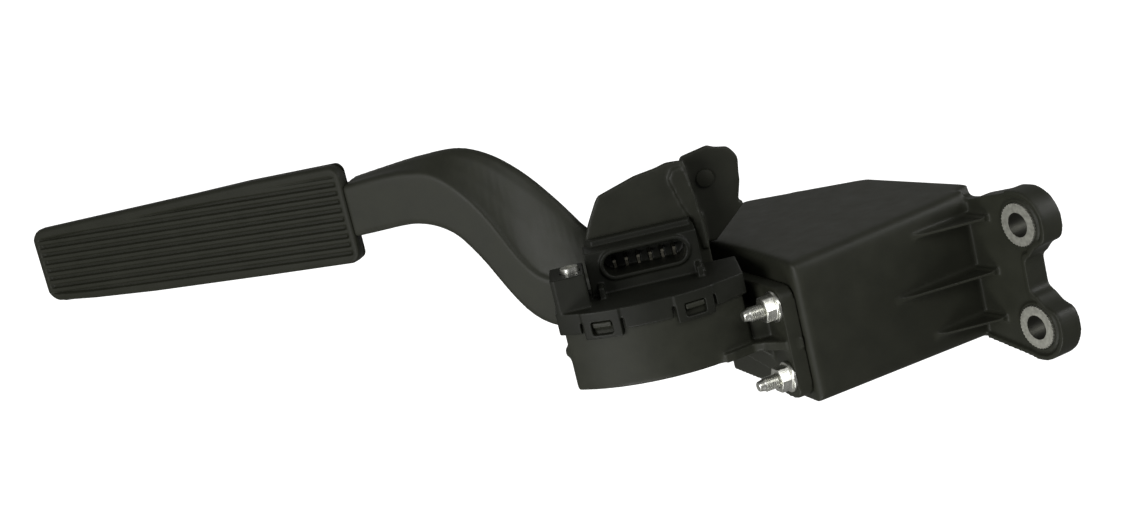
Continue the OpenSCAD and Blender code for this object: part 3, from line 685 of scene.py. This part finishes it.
def turned(name: str, rows: list[tuple[float, float]], sides: int) -> bpy.types.Object:
    """Turn a solid about its own axis from rows of radius and height.

    Args:
        name: the piece's name.
        rows: radius and height of each ring, in millimetres, from the bottom up.
        sides: number of sides round the axis.

    Returns:
        The turned piece, upright on the origin.
    """
    bpy.ops.object.select_all(action="DESELECT")
    radius, height = rows[0]
    bpy.ops.mesh.primitive_circle_add(vertices=sides, radius=radius * MM, fill_type="NGON",
                                      location=(0, 0, height * MM))
    piece = bpy.context.active_object
    piece.name = name
    bpy.ops.object.transform_apply(location=True, rotation=False, scale=False)
    bpy.ops.object.mode_set(mode="EDIT")
    bpy.ops.mesh.select_all(action="SELECT")
    for next_radius, next_height in rows[1:]:
        rise = (0, 0, (next_height - height) * MM)
        bpy.ops.mesh.extrude_region_move(TRANSFORM_OT_translate={"value": rise})
        size = next_radius / radius
        bpy.ops.transform.resize(value=(size, size, 1))
        radius, height = next_radius, next_height
    bpy.ops.mesh.select_all(action="SELECT")
    bpy.ops.mesh.normals_make_consistent(inside=False)
    bpy.ops.object.mode_set(mode="OBJECT")
    return piece


def join(name: str, parts: list[bpy.types.Object]) -> bpy.types.Object:
    """Join parts into one piece.

    Args:
        name: the piece's name.
        parts: the parts, all at the origin.

    Returns:
        The joined piece.
    """
    only(parts[0])
    for part in parts[1:]:
        part.select_set(True)
    bpy.ops.object.join()
    piece = bpy.context.active_object
    piece.name = name
    return piece


@dataclass(frozen=True)
class Studs:
    """Zinc-plated studs between bracket and pedal box, with rolled threads and pointed ends.

    Heights run along a stud's axis, from its seat on the bracket's flange towards the driver.

    Attributes:
        node: the CAD node.
        slot: the record's material slot.
        spacing_mm: distance between the studs.
        seat_mm: Y and Z of the seats.
        lean: turn of the axes about X, in degrees.
        head: radius and height of the rings of the pressed-in head.
        start_mm: height at which the thread begins.
        pitch_mm: pitch of the rolled thread.
        turn: radius and height of the rings of one turn of it: root, crest, crest, root.
        point: radius and height of the rings of the pointed end.
        sides: number of sides round a stud.
        smooth: angle in degrees below which faces are shaded as one.
    """

    node: str = "flange_studs"
    slot: str = "zinc_steel"
    spacing_mm: float = 24.4
    seat_mm: tuple[float, float] = (-73.058, -32.909)
    lean: float = 100.0
    head: Rows = ((3.4, -7.5), (3.6, -7.3), (3.6, -5.2), (3.4, -5.0))
    start_mm: float = -5.0
    pitch_mm: float = 0.8
    turn: Rows = ((2.1, 0.1), (2.48, 0.36), (2.48, 0.46), (2.1, 0.72))
    point: Rows = ((2.05, 15.4), (1.95, 15.6), (1.7, 16.95), (1.45, 17.2))
    sides: int = 40
    smooth: float = 30.0

    def rows(self) -> list[tuple[float, float]]:
        """Profile of one stud.

        Returns:
            Radius and height of each ring, in millimetres.
        """
        height, root, end = self.start_mm, self.turn[0][0], self.point[0][1]
        rows = [*self.head, (root, height)]
        while height < end - self.pitch_mm:
            rows += [(radius, height + rise) for radius, rise in self.turn]
            height += self.pitch_mm
        return rows + list(self.point)

    def axis(self, x_mm: float) -> Matrix:
        """Place of a stud's axis on the flange, in metres, at a distance from the middle plane."""
        seat = Matrix.Translation(Vector((x_mm, *self.seat_mm)) * MM)
        return seat @ Matrix.Rotation(math.radians(self.lean), 4, "X")

    def build(self, material: bpy.types.Material) -> None:
        """Build both studs.

        Args:
            material: the plated steel.
        """
        parts = []
        for side in (-1, 1):
            stud = turned("stud", self.rows(), self.sides)
            stud.data.transform(self.axis(side * self.spacing_mm / 2))
            stud.data.update()
            parts.append(stud)
        piece = join("flange_studs_threaded", parts)
        bpy.ops.object.shade_smooth_by_angle(angle=math.radians(self.smooth))
        settle(piece, (self.node,), Body.HOUSING, material)


@dataclass(frozen=True)
class BracketAssembly:
    """Adapter bracket with its studs and nuts. Its steel bushes stay as the CAD has them."""

    bracket: Moulding = BracketMoulding("adapter_bracket", Body.HOUSING, "black_nylon",
                                        voxel_mm=0.5, passes=5, triangles=170_000)
    nuts: Machined = Machined("flange_nuts", Body.HOUSING, "zinc_steel", edge_mm=0.25)
    studs: Studs = Studs()

    def build(self, materials: Materials) -> None:
        """Build the bracket and its hardware, each in the finish of its slot."""
        for part in (self.bracket, self.nuts, self.studs):
            part.build(materials[part.slot])


@dataclass(frozen=True)
class HousingAssembly:
    """Pedal box, sensor cover and the cap in the tower's head."""

    box: Moulding = BoxMoulding("pedal_box", Body.HOUSING, "black_nylon",
                                voxel_mm=0.5, passes=3, triangles=180_000)
    cover: Moulding = CoverMoulding("sensor_cover", Body.HOUSING, "black_nylon",
                                    voxel_mm=0.35, passes=3, triangles=150_000)
    cap: Machined = Machined("tower_cap", Body.HOUSING, "black_nylon", edge_mm=0.3)

    def build(self, materials: Materials) -> None:
        """Build the housing's mouldings, the cover in a darker nylon that paints the tower's shadow
        on it.

        Args:
            materials: the finishes by slot.
        """
        self.box.build(materials[self.box.slot])
        # The cover's darker nylon is painted shade.
        self.cover.build(materials["shaded_cover_nylon"])
        self.cap.build(materials[self.cap.slot])


@dataclass(frozen=True)
class Tread:
    """Tread with soft lengthwise ribs that die out one by one at its slanted left border.

    Its lengths are in the lever's face frame: along (forward), left, out (towards the driver).

    Attributes:
        node: the CAD node.
        slot: the record's material slot.
        near_mm: station of the end near the lever's bend.
        far_mm: station of the free end.
        right_rows: stations of the right edge, each with its distance to the left.
        left_rows: stations of the left edge, each with its distance to the left.
        corner_mm: radius of the corners.
        top_mm: height of the ribs.
        bottom_mm: height of the plate's underside.
        edge_mm: width of the round on the top's rim.
        edge_drop: height of that round as a share of its width.
        end_room_mm: how far that round is moved out at both ends.
        crest_mm: distance to the left of one rib's crest.
        pitch_mm: distance between ribs.
        groove_mm: depth of the grooves.
        crest_share: share of the wave that stays level as a rib's crest.
        flank_share: share of the wave that the flanks take up.
        border_mm: width of the smooth border round the grooves.
        border_blend_mm: length in which a groove dies out.
        left_weight: weight of the distance to the left edge, below 1 for a wider border there.
        under_edge_mm: width of the chamfer on the underside's rim.
        under_drop: height of that chamfer as a share of its width.
        block_edge_mm: width of the rounds on the block.
        block_crease: angle in degrees from which an edge of the block is rounded.
        block_smooth: angle in degrees below which its faces are shaded as one.
        block_gap_mm: gap between plate and block.
        crowding: how strongly the rows crowd towards both ends.
        steps: rows and columns of the plate.
    """

    node: str = "pedal_pad"
    slot: str = "tread_plastic"
    near_mm: float = -107.5
    far_mm: float = -257.0
    right_rows: Rows = (
        (-257.0, 43.3), (-235.0, 42.2), (-205.0, 41.6), (-150.0, 41.7), (-107.5, 42.0))
    left_rows: Rows = ((-257.0, 72.9), (-153.0, 78.2), (-146.0, 78.55), (-107.5, 79.6))
    corner_mm: float = 5.0
    top_mm: float = 8.0
    bottom_mm: float = 3.0
    edge_mm: float = 2.0
    edge_drop: float = 0.8
    end_room_mm: float = 0.4
    crest_mm: float = 47.8
    pitch_mm: float = 3.3
    groove_mm: float = 1.1
    crest_share: float = 0.28
    flank_share: float = 0.5
    border_mm: float = 2.7
    border_blend_mm: float = 1.0
    left_weight: float = 0.8
    under_edge_mm: float = 0.9
    under_drop: float = 0.8
    block_edge_mm: float = 0.8
    block_crease: float = 50.0
    block_smooth: float = 40.0
    block_gap_mm: float = 0.02
    crowding: float = 0.35
    steps: tuple[int, int] = (260, 150)

    def edge(self, rows: Rows, along: float) -> float:
        """One long edge of the outline, without its corners.

        Args:
            rows: stations of the edge, each with its distance to the left.
            along: station along the lever, in millimetres.

        Returns:
            Distance to the left, in millimetres.
        """
        for (start, first), (end, last) in zip(rows, rows[1:]):
            if along <= end:
                return first + (last - first) * (along - start) / (end - start)
        return rows[-1][1]

    def corner(self, along: float) -> float:
        """How far a corner's round draws the outline in.

        Args:
            along: station along the lever, in millimetres.

        Returns:
            The inset on each side, in millimetres.
        """
        gap = min(self.corner_mm, along - self.far_mm, self.near_mm - along)
        rest = self.corner_mm - max(0.0, gap)
        return self.corner_mm - math.sqrt(max(0.0, self.corner_mm ** 2 - rest ** 2))

    def height(self, along: float, left: float, low: float, high: float) -> float:
        """Height of the ribbed top.

        Args:
            along: station along the lever, in millimetres.
            left: distance to the left, in millimetres.
            low: right edge of the outline there.
            high: left edge of the outline there.

        Returns:
            Height above the lever's plane, in millimetres.
        """
        ends = min(along - self.far_mm, self.near_mm - along) + self.end_room_mm
        gap = min(left - low, high - left, ends)
        rest = max(0.0, 1.0 - gap / self.edge_mm)
        drop = self.edge_mm * self.edge_drop * (1.0 - math.sqrt(max(0.0, 1.0 - rest * rest)))
        wave = 0.5 - 0.5 * math.cos(2 * math.pi * (left - self.crest_mm) / self.pitch_mm)
        groove = min(1.0, max(0.0, (wave - self.crest_share) / self.flank_share))
        inside = min(gap, (high - left) * self.left_weight) - self.border_mm
        fade = min(1.0, max(0.0, inside / self.border_blend_mm))
        return self.top_mm - drop - self.groove_mm * groove * groove * (3 - 2 * groove) * fade

    def plate(self, arm: Matrix) -> bpy.types.Object:
        """Build the ribbed plate from a fine grid of two layers.

        Args:
            arm: the lever's face frame.

        Returns:
            The plate.
        """
        bpy.ops.object.select_all(action="DESELECT")
        bpy.ops.mesh.primitive_grid_add(x_subdivisions=self.steps[0],
                                        y_subdivisions=self.steps[1], size=2.0)
        plate = bpy.context.active_object
        bpy.ops.object.mode_set(mode="EDIT")
        bpy.ops.mesh.select_all(action="SELECT")
        bpy.ops.mesh.extrude_region_move(TRANSFORM_OT_translate={"value": (0, 0, -1)})
        bpy.ops.mesh.select_all(action="SELECT")
        bpy.ops.mesh.normals_make_consistent(inside=False)
        bpy.ops.object.mode_set(mode="OBJECT")
        middle, half = (self.near_mm + self.far_mm) / 2, (self.near_mm - self.far_mm) / 2
        for vertex in plate.data.vertices:
            s, t, level = vertex.co
            # The rows crowd towards both ends, where the corners need them.
            crowded = math.sin(s * math.pi / 2) * self.crowding + s * (1.0 - self.crowding)
            along = middle + half * crowded
            inset = self.corner(along)
            low = self.edge(self.right_rows, along) + inset
            high = self.edge(self.left_rows, along) - inset
            left = (low + high) / 2 + (high - low) / 2 * t
            if level < -0.5:
                gap = min(left - low, high - left, along - self.far_mm, self.near_mm - along)
                out = self.bottom_mm + max(0.0, self.under_edge_mm - gap) * self.under_drop
            else:
                out = self.height(along, left, low, high)
            vertex.co = arm @ (Vector((along, left, out)) * MM)
        bpy.ops.object.shade_smooth()
        return plate

    def block(self, arm: Matrix) -> bpy.types.Object:
        """Cut the CAD block off just below the plate and round its edges.

        Args:
            arm: the lever's face frame.

        Returns:
            The block.
        """
        top = Vector((0, 0, (self.bottom_mm - self.block_gap_mm) * MM))
        block = cad_copy(self.node, "tread_block")
        bpy.ops.object.mode_set(mode="EDIT")
        bpy.ops.mesh.select_all(action="SELECT")
        bpy.ops.mesh.bisect(plane_co=arm @ top, plane_no=arm.to_3x3() @ Vector((0, 0, 1)),
                            use_fill=True, clear_outer=True)
        bpy.ops.object.mode_set(mode="OBJECT")
        apply_modifier(block, "BEVEL", width=self.block_edge_mm * MM, segments=3,
                       limit_method="ANGLE", angle_limit=math.radians(self.block_crease))
        bpy.ops.object.shade_smooth_by_angle(angle=math.radians(self.block_smooth))
        return block

    def build(self, material: bpy.types.Material) -> None:
        """Build the ribbed plate on the CAD block behind it.

        Args:
            material: the tread's plastic.
        """
        arm = face_frame(ARM_TILT)
        piece = join("tread", [self.plate(arm), self.block(arm)])
        settle(piece, (self.node,), Body.PEDAL, material)


@dataclass(frozen=True)
class LeverAssembly:
    """Cranked lever and its ribbed tread."""

    arm: Moulding = Moulding("pedal_arm", Body.PEDAL, "black_nylon",
                             voxel_mm=0.55, passes=8, triangles=110_000)
    tread: Tread = Tread()

    def build(self, materials: Materials) -> None:
        """Build the lever and its tread, each in the finish of its slot."""
        for part in (self.arm, self.tread):
            part.build(materials[part.slot])


@dataclass(frozen=True)
class PhotoView:
    """Camera at the place from which the pedal was photographed.

    Attributes:
        place_mm: where it stands.
        right: direction that lies to the right in the picture.
        up: direction that lies roughly up in the picture.
        lens: focal length, in millimetres.
        sensor: width of the sensor, in millimetres.
        nearest: nearest distance that it shows, in metres.
    """

    place_mm: Triple = (-172.44, -412.60, 464.13)
    right: Triple = (0.2283, 0.8356, 0.4996)
    up: Triple = (-0.9508, 0.3017, -0.0702)
    lens: float = 59.37
    sensor: float = 36.0
    nearest: float = 0.01

    def build(self) -> None:
        """Create the scene's camera."""
        data = bpy.data.cameras.new("photo_view")
        data.sensor_fit = "HORIZONTAL"
        data.sensor_width = self.sensor
        data.lens = self.lens
        data.clip_start = self.nearest
        camera = bpy.data.objects.new("photo_view", data)
        bpy.context.scene.collection.objects.link(camera)
        right = Vector(self.right).normalized()
        up = (Vector(self.up) - Vector(self.up).dot(right) * right).normalized()
        turn = Matrix((right, up, right.cross(up))).transposed().to_4x4()
        camera.matrix_world = Matrix.Translation(Vector(self.place_mm) * MM) @ turn
        bpy.context.scene.camera = camera


@dataclass(frozen=True)
class SoftBox:
    """Square lamp that faces the pedal.

    Attributes:
        name: the lamp's name.
        place: where it hangs, in metres.
        side: its side, in metres.
        power: its power, in watts.
        aim: the point that it faces, in metres.
    """

    name: str
    place: Triple
    side: float
    power: float
    aim: Triple = (-0.03, -0.11, -0.09)

    def build(self) -> None:
        """Hang the lamp."""
        data = bpy.data.lights.new(self.name, "AREA")
        data.size = self.side
        data.energy = self.power
        lamp = bpy.data.objects.new(self.name, data)
        bpy.context.scene.collection.objects.link(lamp)
        turn = (Vector(self.aim) - Vector(self.place)).to_track_quat("-Z", "Y")
        lamp.matrix_world = Matrix.Translation(self.place) @ turn.to_matrix().to_4x4()


@dataclass(frozen=True)
class Studio:
    """White surroundings, a floor and soft boxes round the held-up pedal.

    Attributes:
        sky_light: strength of the light from all round.
        floor_z: height of the floor, in metres.
        floor_size: side of the floor, in metres.
        floor_colour: tone of the floor in reflections, sRGB hex.
        floor_glow: what is added for the camera, so that the floor shows white.
        boxes: the lamps.
    """

    sky_light: float = 0.18
    floor_z: float = -0.33
    floor_size: float = 6.0
    floor_colour: str = "a2a2a0"
    floor_glow: float = 0.97
    boxes: tuple[SoftBox, ...] = (
        SoftBox("right_box", (0.75, -0.7, 0.3), side=0.4, power=6.0),
        SoftBox("front_box", (-0.15, -1.1, 0.25), side=0.5, power=6.5),
        SoftBox("top_box", (-0.6, -0.1, 0.8), side=0.4, power=2.8),
        SoftBox("rim_box", (-0.4, 0.8, 0.45), side=0.4, power=4.5),
    )

    def build(self) -> None:
        """Create the world, the floor and the lamps."""
        self.world()
        self.floor()
        for box in self.boxes:
            box.build()

    def world(self) -> None:
        """Surround the pedal with white that is bright to the camera and faint as a light."""
        world = bpy.data.worlds.new("studio")
        bpy.context.scene.world = world
        world.use_nodes = True
        tree = world.node_tree
        tree.nodes.clear()
        output = add_node(tree, "OutputWorld")
        path = add_node(tree, "LightPath")
        soft = add_node(tree, "Background", Color=linear("ffffff"), Strength=self.sky_light)
        white = add_node(tree, "Background", Color=linear("ffffff"), Strength=1.0)
        mix = add_node(tree, "MixShader", _0=path.outputs["Is Camera Ray"], _1=soft.outputs[0],
                       _2=white.outputs[0])
        tree.links.new(mix.outputs[0], output.inputs[0])

    def floor(self) -> None:
        """Lay the floor, white to the camera and grey in reflections."""
        bpy.ops.object.select_all(action="DESELECT")
        bpy.ops.mesh.primitive_plane_add(size=self.floor_size, location=(0, 0, self.floor_z))
        floor = bpy.context.active_object
        floor.name = "studio_floor"
        bpy.ops.object.transform_apply(location=True, rotation=False, scale=False)
        # The grey keeps the light that the floor throws up on the pedal's sides low, as in a
        # dark room round a small white table.
        material, tree, output = fresh_material("Studio floor, matt white")
        path = add_node(tree, "LightPath")
        matt = add_node(tree, "BsdfDiffuse", Color=linear(self.floor_colour), Roughness=1.0)
        glow = add_node(tree, "Emission", Color=linear("ffffff"), Strength=self.floor_glow)
        both = add_node(tree, "AddShader", _0=matt.outputs[0], _1=glow.outputs[0])
        mix = add_node(tree, "MixShader", _0=path.outputs["Is Camera Ray"], _1=matt.outputs[0],
                       _2=both.outputs[0])
        tree.links.new(mix.outputs[0], output.inputs[0])
        floor.data.materials.append(material)


def dress_nodes(materials: Materials) -> None:
    """Give every CAD node the finish of its material slot.

    Args:
        materials: the finishes by slot.
    """
    for entry in frame["record"]["subparts"]:
        node = frame["nodes"][entry["node"]]
        node.data.materials.clear()
        node.data.materials.append(materials[entry["material_slot"]])


def main() -> None:
    """Build the view, the studio and every sub-assembly."""
    logging.basicConfig(level=logging.INFO, format="%(message)s")
    bpy.context.scene.view_settings.view_transform = "Standard"
    PhotoView().build()
    Studio().build()
    materials = {slot: finish.build() for slot, finish in FINISHES.items()}
    dress_nodes(materials)
    for assembly in (BracketAssembly(), HousingAssembly(), LeverAssembly()):
        assembly.build(materials)
        LOG.info("%s done", type(assembly).__name__)


if __name__ == "__main__":
    main()
